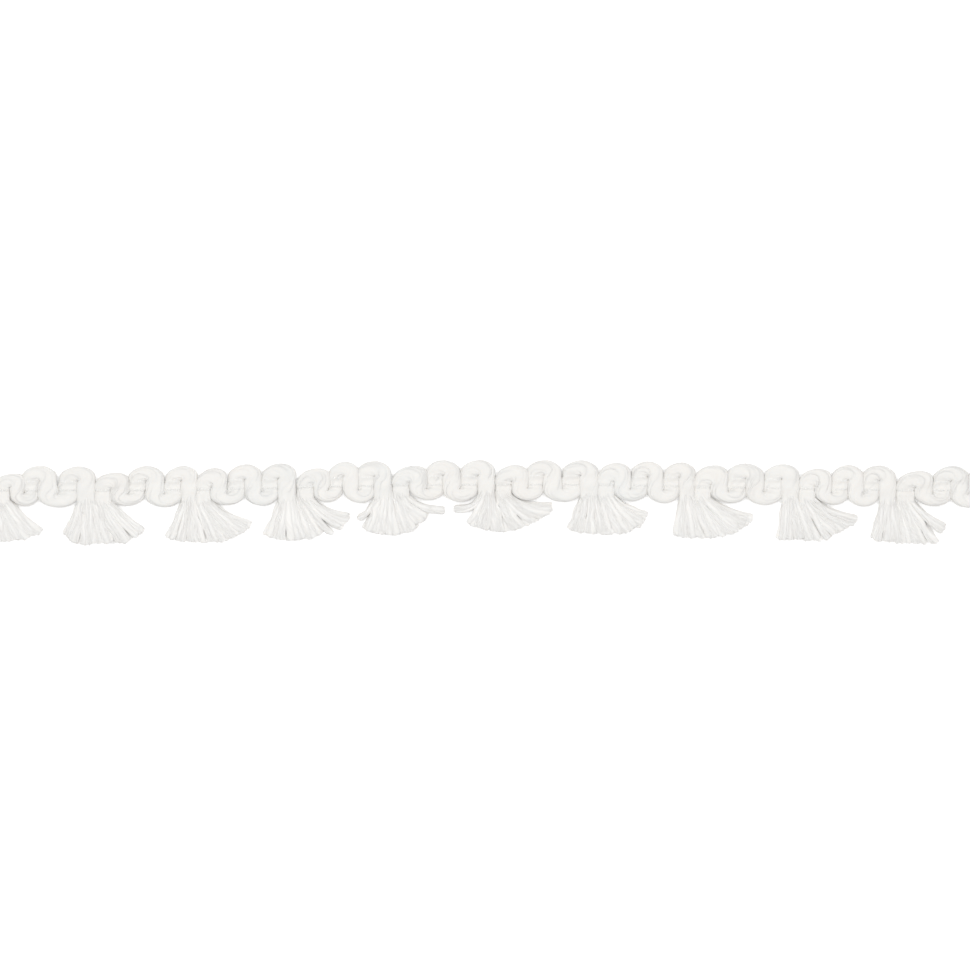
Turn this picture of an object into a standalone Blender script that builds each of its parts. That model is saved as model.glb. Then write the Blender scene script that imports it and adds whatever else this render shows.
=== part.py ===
"""Cut tassel fringe trim: a looped yarn heading, two binding threads and ten cut tassels.

X runs along the trim, +Y is the looped edge, the tassels point towards -Y and +Z is the face.
The trim lies on its back on z = 0. The tables and small sizes are in millimetres, and every
point is turned into metres when its vertex is made. Local y is measured from the line midway
between the two binding threads, which bows gently along the trim.
"""

import math

import bmesh
import bpy
import numpy as np

MM = 0.001
TRIM_NAME = "cut tassel fringe trim"

# Heading, one row a repeat: x of its three bumps, how far the binding line has risen there,
# and how much lower the small bump's top is than the two full ones.
REPEAT_COLUMNS = ("small_x", "first_x", "second_x", "rise", "small_drop")
REPEATS = (
    (-120.1, -113.0, -102.9, 0.0, 1.8),
    (-94.6, -85.7, -76.6, 0.0, 1.8),
    (-69.5, -60.7, -52.4, 0.2, 0.9),
    (-43.2, -35.9, -28.1, 0.9, 1.5),
    (-19.0, -10.6, -1.8, 1.4, 1.4),
    (6.8, 14.7, 24.3, 1.5, 1.3),
    (32.6, 41.2, 49.1, 1.4, 0.7),
    (56.9, 66.0, 75.1, 0.8, 0.8),
    (83.5, 91.8, 99.6, 0.4, 1.1),
    (108.5, 117.9, 126.4, 0.0, 1.3),
)
FIRST_BUMP_X = -128.7
END_SPACING = 8.5

# Heights of the yarn above the surface, and places across the trim.
YARN_TOP = 3.5
FRONT_LEG = (0.8, 3.3)
BACK_LEG = (0.0, 2.1)
BUMP_BASE_Y = 1.35
BUMP_TOP_Y = 5.05
SMALL_BASE_Y = -0.5
SMALL_LOW = 0.8
LOBE_BASE_Y = -1.35
LOBE_DEPTHS = (3.7, 4.1)
LEG_END_Y = -1.35
CUT_END_Y = -2.4
SIDES = 8

# One half turn of yarn from its left leg to its right one. Across is in half leg spacings,
# along in depths of the turn, and full says how far the section has swelled to a full pillow.
TURN_COLUMNS = ("inner_across", "inner_along", "outer_across", "outer_along", "full")
TURN = (
    (-0.25, 0.00, -1.75, 0.00, 0.0),
    (-0.08, 0.13, -1.89, 0.32, 0.9),
    (-0.05, 0.17, -1.58, 0.73, 1.0),
    (-0.02, 0.18, -0.68, 0.99, 1.0),
    (0.02, 0.18, 0.68, 0.99, 1.0),
    (0.05, 0.17, 1.58, 0.73, 1.0),
    (0.08, 0.13, 1.89, 0.32, 0.9),
    (0.25, 0.00, 1.75, 0.00, 0.0),
)
SMALL_WIDTH = 0.94

# The least gap between a tassel's head and the lobes beside it.
CLEARANCE = 0.35

# Binding threads: round wires over the back legs and under the front ones. The run is the level
# stretch at each leg, as a share of the room to the next leg.
THREAD_Y = (1.1, -1.1)
THREAD_RADIUS = 0.22
THREAD_UNDER = 0.22
THREAD_OVER = 2.62
THREAD_RUN = 0.25
THREAD_OVERHANG = 0.6

# Tassel heads: half width and height at each section down the head.
HEAD_COLUMNS = ("y", "half", "low", "high")
HEAD = (
    (-1.65, 3.3, 0.0, 2.9),
    (-2.3, 3.9, 0.0, 3.3),
    (-3.2, 4.15, 0.0, 3.2),
    (-3.9, 4.1, 0.15, 2.7),
)
HEAD_SIDES = 8
ROOT_Y = -2.9
ROOT_HALF = 3.85

# Cut strands, one row a lock: the tassel, the strands in each layer, the place of the first and
# the last cut end from the head's middle, and how far the cut line sags between them.
LOCK_COLUMNS = ("tassel", "count", "first_x", "first_y", "last_x", "last_y", "sag")
LOCKS = (
    (0, 12, -8.3, -12.4, 11.9, -11.4, 2.0),
    (1, 9, -8.1, -12.1, 9.2, -13.2, 1.5),
    (1, 3, 10.6, -11.8, 12.5, -10.4, 0.0),
    (2, 8, -7.8, -13.0, 7.3, -13.8, 0.6),
    (2, 4, 9.1, -13.0, 13.8, -9.2, 0.3),
    (3, 8, -7.7, -13.0, 6.6, -12.5, 1.5),
    (3, 4, 9.0, -11.5, 13.2, -7.4, 0.2),
    (4, 2, -8.6, -8.5, -7.9, -9.6, 0.0),
    (4, 8, -6.6, -11.8, 7.1, -11.8, 1.5),
    (4, 2, 10.6, -9.0, 13.2, -7.6, 0.0),
    (5, 2, -10.6, -6.9, -9.3, -8.3, 0.0),
    (5, 8, -7.3, -10.3, 6.8, -11.1, 1.7),
    (5, 3, 10.0, -9.6, 14.6, -6.6, 0.3),
    (6, 8, -8.2, -11.8, 7.7, -12.8, 0.9),
    (6, 4, 9.7, -11.8, 13.2, -7.6, 0.4),
    (7, 8, -5.2, -13.2, 8.6, -12.9, 0.6),
    (7, 4, 10.4, -11.8, 14.7, -8.6, 0.3),
    (8, 7, -5.9, -13.5, 4.6, -14.4, 0.2),
    (8, 6, 6.6, -13.9, 15.2, -8.2, 0.3),
    (9, 10, -6.6, -12.3, 9.7, -13.9, 1.2),
    (9, 2, 11.2, -11.4, 12.7, -9.9, 0.0),
)
# Two layers of strands: their heights at the root and the cut end, how far a layer is shifted
# towards the next strand, its share of the full reach, and its top width as a share of its base.
LAYER_COLUMNS = ("root_low", "root_high", "tip_low", "tip_high", "shift", "reach", "top")
LAYERS = (
    (0.4, 1.35, 0.0, 1.1, 0.0, 1.0, 0.65),
    (1.65, 2.85, 1.4, 2.5, 0.5, 0.97, 0.0),
)
STRAND_FILL = 0.8
STRAND_MOST = 1.7
STRAIGHT_STEPS = (0.0, 0.3, 1.0)
BENT_STEPS = (0.0, 0.3, 0.62, 1.0)
STRAIGHT_TIP_X = 5.5
# How far across and along the way to its cut end a strand's bend lies, by that end's depth.
BEND_COLUMNS = ("tip_y", "across", "along")
BENDS = (
    (-12.0, 0.34, 0.5),
    (-9.0, 0.27, 0.72),
    (-6.5, 0.13, 1.15),
)

# The middle of the whole trim's outline, which becomes the origin.
CENTRE = (-1.433, -4.068)

YARN_COLOUR = (0.87, 0.86, 0.84, 1.0)
THREAD_COLOUR = (0.9, 0.9, 0.88, 1.0)


def clear_scene():
    for item in list(bpy.data.objects):
        bpy.data.objects.remove(item, do_unlink=True)


def row_of(columns, values):
    return dict(zip(columns, values, strict=True))


def new_material(name, colour):
    material = bpy.data.materials.new(name)
    material.use_nodes = True
    shader = material.node_tree.nodes["Principled BSDF"]
    shader.inputs["Base Color"].default_value = colour
    shader.inputs["Roughness"].default_value = 0.9
    shader.inputs["Metallic"].default_value = 0.0
    return material


def binding_line(x):
    """How far the line between the two binding threads has risen at x."""
    xs = [row[0] for row in REPEATS]
    rises = [row[3] for row in REPEATS]
    return float(np.interp(x, xs, rises))


def placed(x, y, z):
    """A point of the trim in metres, counted from the middle of its outline."""
    return ((x - CENTRE[0]) * MM, (y - CENTRE[1]) * MM, z * MM)


def section_ring(inner, outer, low, high, sides):
    """Points of one yarn section, flat below and above, from its inner edge to its outer one."""
    inner = np.array(inner)
    outer = np.array(outer)
    middle = (inner + outer) / 2
    reach = (outer - inner) / 2
    height = (high - low) / 2
    swell = 1 / math.cos(math.pi / sides)
    ring = []
    for side in range(sides):
        angle = 2 * math.pi * (side + 0.5) / sides
        x, y = middle + reach * swell * math.cos(angle)
        z = low + height + height * swell * math.sin(angle)
        ring.append(placed(x, y + binding_line(middle[0]), z))
    return ring


def loft_into(mesh, rings):
    """A closed skin over a row of sections, added to the mesh."""
    loops = []
    for ring in rings:
        loops.append([mesh.verts.new(point) for point in ring])
    count = len(loops[0])
    faces = [mesh.faces.new(loops[0]), mesh.faces.new(list(reversed(loops[-1])))]
    for near, far in zip(loops, loops[1:]):
        for side in range(count):
            after = (side + 1) % count
            faces.append(mesh.faces.new((near[after], near[side], far[side], far[after])))
    bmesh.ops.recalc_face_normals(mesh, faces=faces)


def object_from(mesh, name, collection, material):
    data = bpy.data.meshes.new(name)
    mesh.to_mesh(data)
    mesh.free()
    made = bpy.data.objects.new(name, data)
    collection.objects.link(made)
    data.materials.append(material)
    data.shade_smooth()
    data.set_sharp_from_angle(angle=math.radians(50))
    return made


def heading_bumps():
    """Every bump of the heading in order: its x, its drop below a full bump, and its kind."""
    bumps = [{"x": FIRST_BUMP_X, "drop": 0.0, "kind": "second"}]
    for values in REPEATS:
        row = row_of(REPEAT_COLUMNS, values)
        bumps.append({"x": row["small_x"], "drop": row["small_drop"], "kind": "small"})
        bumps.append({"x": row["first_x"], "drop": 0.0, "kind": "first"})
        bumps.append({"x": row["second_x"], "drop": 0.0, "kind": "second"})
    for index, bump in enumerate(bumps):
        before = bumps[index - 1]["x"] if index else bump["x"] - END_SPACING
        last = index == len(bumps) - 1
        after = bump["x"] + END_SPACING if last else bumps[index + 1]["x"]
        bump["left"] = bump["x"] - (bump["x"] - before) / 4
        bump["right"] = bump["x"] + (after - bump["x"]) / 4
    return bumps


def turn_rings(left, right, base, depth, lows, highs, width=1.0):
    """Sections round one turn, whose legs stand at left and right. Depth is below 0 for a lobe."""
    middle = (left + right) / 2
    spacing = (right - left) / 2
    full_low = 0.0 if width == 1.0 else SMALL_LOW
    rings = []
    for index, values in enumerate(TURN):
        row = row_of(TURN_COLUMNS, values)
        side = 0 if index < len(TURN) / 2 else 1
        low = lows[side] + row["full"] * (full_low - lows[side])
        high = highs[side] + row["full"] * (YARN_TOP - highs[side])
        inner = (middle + row["inner_across"] * spacing, base + row["inner_along"] * depth)
        outer_across = row["outer_across"] * spacing * width
        outer = (middle + outer_across, base + row["outer_along"] * depth)
        rings.append((inner, outer, low, high))
    return rings


def bump_rings(bump):
    """An upper turn, reached by a leg at the back and left by a leg at the front."""
    lows = (BACK_LEG[0], FRONT_LEG[0])
    highs = (BACK_LEG[1], FRONT_LEG[1])
    small = bump["kind"] == "small"
    base = SMALL_BASE_Y if small else BUMP_BASE_Y
    depth = BUMP_TOP_Y - bump["drop"] - base
    width = SMALL_WIDTH if small else 1.0
    return turn_rings(bump["left"], bump["right"], base, depth, lows, highs, width)


def lobe_rings(before, after):
    """A lower turn between two bumps, reached by a leg at the front and left at the back."""
    lows = (FRONT_LEG[0], BACK_LEG[0])
    highs = (FRONT_LEG[1], BACK_LEG[1])
    depth = LOBE_DEPTHS[0] if before["kind"] == "small" else LOBE_DEPTHS[1]
    return turn_rings(before["right"], after["left"], LOBE_BASE_Y, -depth, lows, highs)


def leg_end(rings, at_start, y):
    """The section of a leg's end: the nearest turn section moved straight down to y."""
    inner, outer, low, high = rings[0] if at_start else rings[-1]
    return ((inner[0], y), (outer[0], y), low, high)


def yarn_length(bumps, first_end_y, last_end_y):
    """Sections of one length of yarn over its bumps and the lobes between them."""
    rings = bump_rings(bumps[0])
    rings.insert(0, leg_end(rings, True, first_end_y))
    for before, after in zip(bumps, bumps[1:]):
        rings.extend(flipped(lobe_rings(before, after)))
        rings.extend(bump_rings(after))
    rings.append(leg_end(rings, False, last_end_y))
    return rings


def flipped(rings):
    """A lobe turns the other way, so its inner edge carries on from the bump's outer edge."""
    return [(outer, inner, low, high) for inner, outer, low, high in rings]


def make_heading(collection, material):
    """The lengths of yarn, each running from one tassel's head to the next."""
    bumps = heading_bumps()
    lengths = [bumps[:1]]
    for start in range(1, len(bumps), 3):
        lengths.append(bumps[start : start + 3])
    for index, group in enumerate(lengths):
        first_end = CUT_END_Y if index == 0 else LEG_END_Y
        last_end = CUT_END_Y if index == len(lengths) - 1 else LEG_END_Y
        mesh = bmesh.new()
        sections = yarn_length(group, first_end, last_end)
        loft_into(mesh, [section_ring(*section, SIDES) for section in sections])
        object_from(mesh, f"heading_yarn_{index:02d}", collection, material)


def thread_crossings(upper):
    """Where a binding thread meets each leg: its x and whether it passes over that leg."""
    crossings = []
    for bump in heading_bumps():
        over_left = not (upper and bump["kind"] == "small")
        crossings.append((bump["left"], over_left))
        crossings.append((bump["right"], False))
    return crossings


def make_thread(name, y, upper, collection, material):
    """One binding thread as a wire, over the back legs and under the front ones."""
    crossings = thread_crossings(upper)
    points = []
    for index, (x, over) in enumerate(crossings):
        z = THREAD_OVER if over else THREAD_UNDER
        gaps = [abs(x - crossings[k][0]) for k in (index - 1, index + 1) if 0 <= k < len(crossings)]
        run = THREAD_RUN * min(gaps)
        points.append((x - run, z))
        points.append((x + run, z))
    points[0] = (points[0][0] - THREAD_OVERHANG, points[0][1])
    points[-1] = (points[-1][0] + THREAD_OVERHANG, points[-1][1])
    curve = bpy.data.curves.new(name, "CURVE")
    curve.dimensions = "3D"
    curve.bevel_depth = THREAD_RADIUS * MM
    curve.bevel_resolution = 0
    curve.use_fill_caps = True
    spline = curve.splines.new("POLY")
    spline.points.add(len(points) - 1)
    for point, (x, z) in zip(spline.points, points, strict=True):
        point.co = (*placed(x, y + binding_line(x), z), 1.0)
    made = bpy.data.objects.new(name, curve)
    collection.objects.link(made)
    curve.materials.append(material)
    return made


def strand_ends(tassel):
    """The cut ends of one tassel, in order from left to right."""
    ends = []
    for values in LOCKS:
        row = row_of(LOCK_COLUMNS, values)
        if row["tassel"] != tassel:
            continue
        first = np.array((row["first_x"], row["first_y"]))
        last = np.array((row["last_x"], row["last_y"]))
        for share in np.linspace(0, 1, row["count"]):
            end = first + (last - first) * share
            end[1] -= row["sag"] * 4 * share * (1 - share)
            ends.append(end)
    return np.array(ends)


def strand_path(root, tip):
    """Points along one strand, which leaves the head downwards and bends out to its cut end."""
    rows = [row_of(BEND_COLUMNS, values) for values in BENDS]
    depths = [row["tip_y"] for row in rows]
    across = np.interp(tip[1], depths, [row["across"] for row in rows])
    along = np.interp(tip[1], depths, [row["along"] for row in rows])
    control = root + (tip - root) * np.array((across, along))
    points = []
    for step in BENT_STEPS:
        points.append((1 - step) ** 2 * root + 2 * step * (1 - step) * control + step**2 * tip)
    return np.array(points)


def directions(path):
    """The unit direction of a path at each of its points."""
    steps = np.gradient(path, axis=0)
    return steps / np.linalg.norm(steps, axis=1, keepdims=True)


def layer_paths(tassel, layer, root_half):
    """The paths of one layer's strands. A shifted layer lies over the gaps of the one below."""
    ends = strand_ends(tassel)
    if layer["shift"]:
        ends = ends[:-1] + (ends[1:] - ends[:-1]) * layer["shift"]
    shares = (np.arange(len(ends)) + 0.5) / len(ends)
    paths = []
    for share, end in zip(shares, ends):
        root = np.array(((2 * share - 1) * root_half, ROOT_Y))
        paths.append(strand_path(root, end * layer["reach"]))
    return paths


def half_widths(paths):
    """Half of each strand's width at each point, from the room between it and its neighbours."""
    rooms = []
    for near, far in zip(paths, paths[1:]):
        gap = far - near
        way = directions(near)
        rooms.append(np.abs(gap[:, 0] * way[:, 1] - gap[:, 1] * way[:, 0]))
    widths = []
    for index in range(len(paths)):
        beside = rooms[max(index - 1, 0) : index + 1]
        room = np.minimum(np.min(beside, axis=0), STRAND_MOST)
        widths.append(STRAND_FILL * room / 2)
    return widths


def strand_rings(path, halves, layer, centre_x):
    """Sections of one strand: a flat underside, and a narrower top or a ridge."""
    way = directions(path)
    across = np.stack((-way[:, 1], way[:, 0]), axis=1)
    rings = []
    steps = STRAIGHT_STEPS if abs(path[-1][0]) < STRAIGHT_TIP_X else BENT_STEPS
    for step, point, side, half in zip(BENT_STEPS, path, across, halves):
        if step not in steps:
            continue
        settle = min(step / BENT_STEPS[1], 1.0)
        low = layer["root_low"] + (layer["tip_low"] - layer["root_low"]) * settle
        high = layer["root_high"] + (layer["tip_high"] - layer["root_high"]) * step
        top = half * layer["top"]
        corners = [(-half, low), (half, low), (top, high)]
        if top:
            corners.append((-top, high))
        ring = []
        for offset, z in corners:
            x, y = point + side * offset
            ring.append(placed(x + centre_x, y + binding_line(centre_x), z))
        rings.append(ring)
    return rings


def strands_mesh(tassel, place):
    """All the strands of one tassel, still apart."""
    mesh = bmesh.new()
    root_half = ROOT_HALF * place["narrowing"]
    for values in LAYERS:
        layer = row_of(LAYER_COLUMNS, values)
        paths = layer_paths(tassel, layer, root_half)
        for path, halves in zip(paths, half_widths(paths)):
            loft_into(mesh, strand_rings(path, halves, layer, place["centre"]))
    return mesh


def make_tassel(index, place, collection, material):
    """A tassel: the head under the lower binding thread with all its strands joined to it."""
    name = f"tassel_{index:02d}"
    centre_x = place["centre"]
    head = bmesh.new()
    rings = []
    for values in HEAD:
        row = row_of(HEAD_COLUMNS, values)
        half = row["half"] * place["narrowing"]
        inner = (centre_x - half, row["y"])
        outer = (centre_x + half, row["y"])
        rings.append(section_ring(inner, outer, row["low"], row["high"], HEAD_SIDES))
    loft_into(head, rings)
    tassel = object_from(head, name, collection, material)
    cutters = bpy.data.collections["joining shapes"]
    strands = object_from(strands_mesh(index, place), f"{name} strands", cutters, material)
    strands.hide_render = True
    strands.display_type = "WIRE"
    join = tassel.modifiers.new("join strands", "BOOLEAN")
    join.operation = "UNION"
    join.solver = "EXACT"
    join.use_self = True
    join.object = strands


def tassel_places():
    """The middle of each tassel's head, and how far the lobes beside it narrow the head."""
    bumps = heading_bumps()
    lobe_side = TURN[1][2] + 1
    widest = max(row[1] for row in HEAD)
    places = []
    for index, (before, after) in enumerate(zip(bumps, bumps[1:])):
        if before["kind"] != "second":
            continue
        centre = (before["right"] + after["left"]) / 2
        rooms = [widest + CLEARANCE]
        if index > 0:
            spacing = (before["left"] - bumps[index - 1]["right"]) / 2
            rooms.append(centre - before["left"] + lobe_side * spacing)
        spacing = (bumps[index + 2]["left"] - after["right"]) / 2
        rooms.append(after["right"] + lobe_side * spacing - centre)
        places.append({"centre": centre, "narrowing": (min(rooms) - CLEARANCE) / widest})
    return places


def main():
    clear_scene()
    trim = bpy.data.collections.new(TRIM_NAME)
    bpy.context.scene.collection.children.link(trim)
    cutters = bpy.data.collections.new("joining shapes")
    cutters.hide_render = True
    bpy.context.scene.collection.children.link(cutters)
    yarn = new_material("soft yarn", YARN_COLOUR)
    thread = new_material("binding thread", THREAD_COLOUR)
    make_heading(trim, yarn)
    make_thread("binding_thread_upper", THREAD_Y[0], True, trim, thread)
    make_thread("binding_thread_lower", THREAD_Y[1], False, trim, thread)
    for index, place in enumerate(tassel_places()):
        make_tassel(index, place, trim, yarn)


main()
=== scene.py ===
# %% [markdown]
# # Cut tassel fringe trim
# A tassel fringe is made on a crochet machine. A soft cotton yarn of many plies is laid back and
# forth in turns, two rows of fine chain stitches lock the turns side by side as a heading, and
# every third turn hangs down as a long loop that is cut open into a tassel.
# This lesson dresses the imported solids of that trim. It starts by loading them, because every
# piece that it makes stands where one of them lies.

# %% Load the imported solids
import math
import bpy
import numpy as np
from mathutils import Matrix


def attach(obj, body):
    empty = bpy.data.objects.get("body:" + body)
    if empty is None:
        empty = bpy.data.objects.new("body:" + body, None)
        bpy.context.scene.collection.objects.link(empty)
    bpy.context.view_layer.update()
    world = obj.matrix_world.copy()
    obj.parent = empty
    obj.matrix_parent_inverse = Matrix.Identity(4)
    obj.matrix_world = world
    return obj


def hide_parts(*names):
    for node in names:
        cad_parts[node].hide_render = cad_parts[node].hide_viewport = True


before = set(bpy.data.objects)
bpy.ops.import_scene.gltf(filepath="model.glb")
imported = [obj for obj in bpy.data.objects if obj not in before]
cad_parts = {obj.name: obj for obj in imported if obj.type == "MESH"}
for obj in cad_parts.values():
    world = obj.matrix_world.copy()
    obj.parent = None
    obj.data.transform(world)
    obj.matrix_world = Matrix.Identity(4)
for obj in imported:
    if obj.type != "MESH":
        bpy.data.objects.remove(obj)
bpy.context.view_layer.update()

# %% [markdown]
# ## The plan of the trim
# Sizes are in millimetres, as a maker notes them. X runs along the trim, Y is measured from the
# line midway between the two rows of stitches, and that line bows gently. Each repeat has three
# bumps: a small one on top of the tassel, and two full ones with lobes between them. The table of
# bumps is the one that the solids are made from, so the yarn lies where they lie.

# %% The repeats of the heading
MM = 0.001
MIDDLE = (-1.433, -4.068)  # the plan's place that becomes the origin
# x of the small, first and second bump, the rise of the stitch line, the small bump's drop
REPEATS = np.array((
    (-120.1, -113.0, -102.9, 0.0, 1.8), (-94.6, -85.7, -76.6, 0.0, 1.8),
    (-69.5, -60.7, -52.4, 0.2, 0.9), (-43.2, -35.9, -28.1, 0.9, 1.5),
    (-19.0, -10.6, -1.8, 1.4, 1.4), (6.8, 14.7, 24.3, 1.5, 1.3),
    (32.6, 41.2, 49.1, 1.4, 0.7), (56.9, 66.0, 75.1, 0.8, 0.8),
    (83.5, 91.8, 99.6, 0.4, 1.1), (108.5, 117.9, 126.4, 0.0, 1.3),
))
FIRST_BUMP_X, END_SPACING = -128.7, 8.5
FRONT_LEG, BACK_LEG = (0.8, 3.3), (0.0, 2.1)  # underside and top of a leg
FULL = (0.0, 0.8, 3.5)  # underside of a full turn, of a small bump, and their top
BUMP_BASE, BUMP_TOP, SMALL_BASE, LOBE_BASE = 0.9, 5.05, -0.8, -1.35
LOBE_DEPTHS = (3.7, 4.1)  # of a lobe just after a small bump, and of any other
LEG_END, CUT_END = -1.35, -2.4  # y where a leg ends in a tassel, and where the trim is cut
# a turn's stations: inner x and y, outer x and y, and fullness, from 0 as its leg to 1 as its top,
# with x in half leg spacings and y in depths of the turn
TURN = (
    (0.10, 0.00, -2.05, 0.00, 0.0), (0.06, 0.10, -2.05, 0.26, 0.7),
    (0.03, 0.14, -1.86, 0.55, 1.0), (0.01, 0.15, -1.16, 0.84, 1.0),
    (0.00, 0.15, -0.36, 0.98, 1.0), (0.00, 0.15, 0.42, 1.00, 1.0),
    (-0.01, 0.15, 1.28, 0.86, 1.0), (-0.03, 0.14, 1.93, 0.56, 1.0),
    (-0.06, 0.10, 2.06, 0.26, 0.7), (-0.10, 0.00, 2.05, 0.00, 0.0),
)
# a small bump is broad, with a square shoulder on its right
SMALL_TURN = (
    (0.10, 0.00, -2.02, 0.00, 0.0), (0.06, 0.10, -1.98, 0.26, 0.7),
    (0.03, 0.14, -1.70, 0.56, 1.0), (0.01, 0.15, -1.14, 0.81, 1.0),
    (0.00, 0.15, -0.36, 0.96, 1.0), (0.00, 0.15, 0.50, 1.01, 1.0),
    (-0.01, 0.15, 1.40, 0.96, 1.0), (-0.03, 0.14, 2.00, 0.74, 1.0),
    (-0.06, 0.10, 2.14, 0.36, 0.7), (-0.10, 0.00, 2.10, 0.00, 0.0),
)


def stitch_line(x):
    """The rise of the stitch line at x."""
    return np.interp(x, REPEATS[:, 0], REPEATS[:, 3])


def list_bumps():
    """Every bump in order, with its legs a quarter of the way to the bumps beside it."""
    bumps = [{"x": FIRST_BUMP_X, "drop": 0.0, "small": False}]
    for small, first, second, _, drop in REPEATS:
        bumps.append({"x": small, "drop": drop, "small": True})
        bumps.append({"x": first, "drop": 0.0, "small": False})
        bumps.append({"x": second, "drop": 0.0, "small": False})
    xs = [b["x"] for b in bumps]
    xs = [xs[0] - END_SPACING, *xs, xs[-1] + END_SPACING]
    for bump, before, after in zip(bumps, xs, xs[2:]):
        bump["left"] = bump["x"] - (bump["x"] - before) / 4
        bump["right"] = bump["x"] + (after - bump["x"]) / 4
    return bumps


BUMPS = list_bumps()
LENGTHS = [BUMPS[:1]] + [BUMPS[k:k + 3] for k in range(1, len(BUMPS), 3)]
print("bumps:", len(BUMPS), "lengths of heading yarn:", len(LENGTHS))

# %% [markdown]
# ## One straight ply
# Everything here is made of soft rods: the heading yarn, the cut strands, the single plies, the
# loose fibres and the stitching thread. By hand such a rod is a circle that is extruded, repeated
# along its length and capped, so it is modelled once for each fineness with Blender's own tools:
# a circle, one extrusion, an Array that merges its copies, and filled ends. It stays straight,
# with a radius of 1 and its rings 1 apart, and is bent to its place afterwards.

# %% Model a straight ply
def straight_ply(rings, sides):
    """A closed rod along Z with a radius of 1 and its rings 1 apart."""
    bpy.ops.object.select_all(action="DESELECT")
    bpy.ops.mesh.primitive_circle_add(vertices=sides, radius=1.0, location=(0, 0, 0))
    rod = bpy.context.object
    bpy.ops.object.mode_set(mode="EDIT")
    bpy.ops.mesh.select_all(action="SELECT")
    bpy.ops.mesh.extrude_region_move(TRANSFORM_OT_translate={"value": (0, 0, 1)})
    bpy.ops.object.mode_set(mode="OBJECT")
    row = rod.modifiers.new("rings in a row", "ARRAY")
    row.count = rings - 1
    row.use_relative_offset = False
    row.use_constant_offset = True
    row.constant_offset_displace = (0, 0, 1)
    row.use_merge_vertices = True
    row.merge_threshold = 0.01
    bpy.ops.object.modifier_apply(modifier=row.name)
    bpy.ops.object.mode_set(mode="EDIT")
    bpy.ops.mesh.select_all(action="SELECT")
    bpy.ops.mesh.fill_holes(sides=0)
    bpy.ops.mesh.select_all(action="SELECT")
    bpy.ops.mesh.normals_make_consistent(inside=False)
    bpy.ops.object.mode_set(mode="OBJECT")
    return rod


def read_ply(rod):
    """The rod's points and faces as arrays, and each point's ring. The rod itself is put away."""
    mesh = rod.data
    points = np.empty(len(mesh.vertices) * 3)
    mesh.vertices.foreach_get("co", points)
    points = points.reshape(-1, 3)
    corners = np.empty(len(mesh.loops), int)
    mesh.loops.foreach_get("vertex_index", corners)
    starts = np.empty(len(mesh.polygons), int)
    mesh.polygons.foreach_get("loop_start", starts)
    ply = {"flat": points[:, :2], "ring": np.rint(points[:, 2]).astype(int),
           "corners": corners, "starts": starts}
    bpy.data.objects.remove(rod)
    bpy.data.meshes.remove(mesh)
    return ply


kept_plies = {}


def ply_of(rings, sides):
    """A straight ply as arrays, modelled once for each number of rings and sides."""
    if (rings, sides) not in kept_plies:
        kept_plies[rings, sides] = read_ply(straight_ply(rings, sides))
    return kept_plies[rings, sides]


sample = ply_of(30, 8)
print("a ply of 30 rings:", len(sample["flat"]), "points,", len(sample["starts"]), "faces")

# %% [markdown]
# ## Bending plies
# A Curve modifier could bend one rod at a time, but a tassel has hundreds of fibres. So the rod
# is copied in arrays: each ring goes to its point of the path, square to the path, with a width
# and a height of its own. Every point also keeps where it lay in the straight rod, in
# millimetres and with the spin of the fibres, as the attribute "lay". The cotton's streaks
# follow that attribute, so they run along each ply however it is bent.

# %% Tools for paths
chance = np.random.default_rng(20)


def smoothed(rows, places, wanted):
    """A table read at other places along a smooth line through its rows."""
    slopes = np.gradient(rows, places, axis=0)
    k = np.clip(np.searchsorted(places, wanted, side="right") - 1, 0, len(places) - 2)
    span = (places[k + 1] - places[k])[:, None]
    t = (wanted - places[k])[:, None] / span
    near = rows[k] * (2 * t**3 - 3 * t**2 + 1) + slopes[k] * span * (t**3 - 2 * t**2 + t)
    far = rows[k + 1] * (3 * t**2 - 2 * t**3) + slopes[k + 1] * span * (t**3 - t**2)
    return near + far


def run_of(path):
    """The distance along a path at each of its points."""
    steps = np.linalg.norm(np.diff(path, axis=-2), axis=-1)
    return np.concatenate((np.zeros_like(steps[..., :1]), np.cumsum(steps, axis=-1)), axis=-1)


def unit(vectors, guard=0.0):
    """Vectors made one long. The guard keeps a step of no length from being divided by 0."""
    return vectors / (np.linalg.norm(vectors, axis=-1, keepdims=True) + guard)


corner_path = np.array(((0.0, 0.0), (3.0, 0.0), (3.0, 4.0)))
print("distance along a path with one corner:", run_of(corner_path).tolist())

# %% Bend a set of plies
SPIN = 0.5  # radians that the fibres turn in a millimetre of ply
STEEP = 0.9  # a path that climbs more than this takes +Y as its upward direction
NOISE_ROOM = 400  # mm each way, in which every copy reads the noise at a place of its own


def bent(ply, paths, widths, heights):
    """Copies of a ply along paths (copies, rings, 3), and where each point lay, both in mm."""
    ring, flat = ply["ring"], ply["flat"]
    along = unit(np.gradient(paths, axis=1), 1e-12)
    up = np.zeros_like(along)
    up[..., 2] = 1.0
    up[np.abs(along[..., 2]) > STEEP] = (0.0, 1.0, 0.0)
    side = unit(np.cross(up, along))
    up = np.cross(along, side)
    across = side[:, ring] * (flat[:, 0] * widths[:, ring])[..., None]
    above = up[:, ring] * (flat[:, 1] * heights[:, ring])[..., None]
    return paths[:, ring] + across + above, straight_places(ply, run_of(paths), widths, SPIN)


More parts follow.
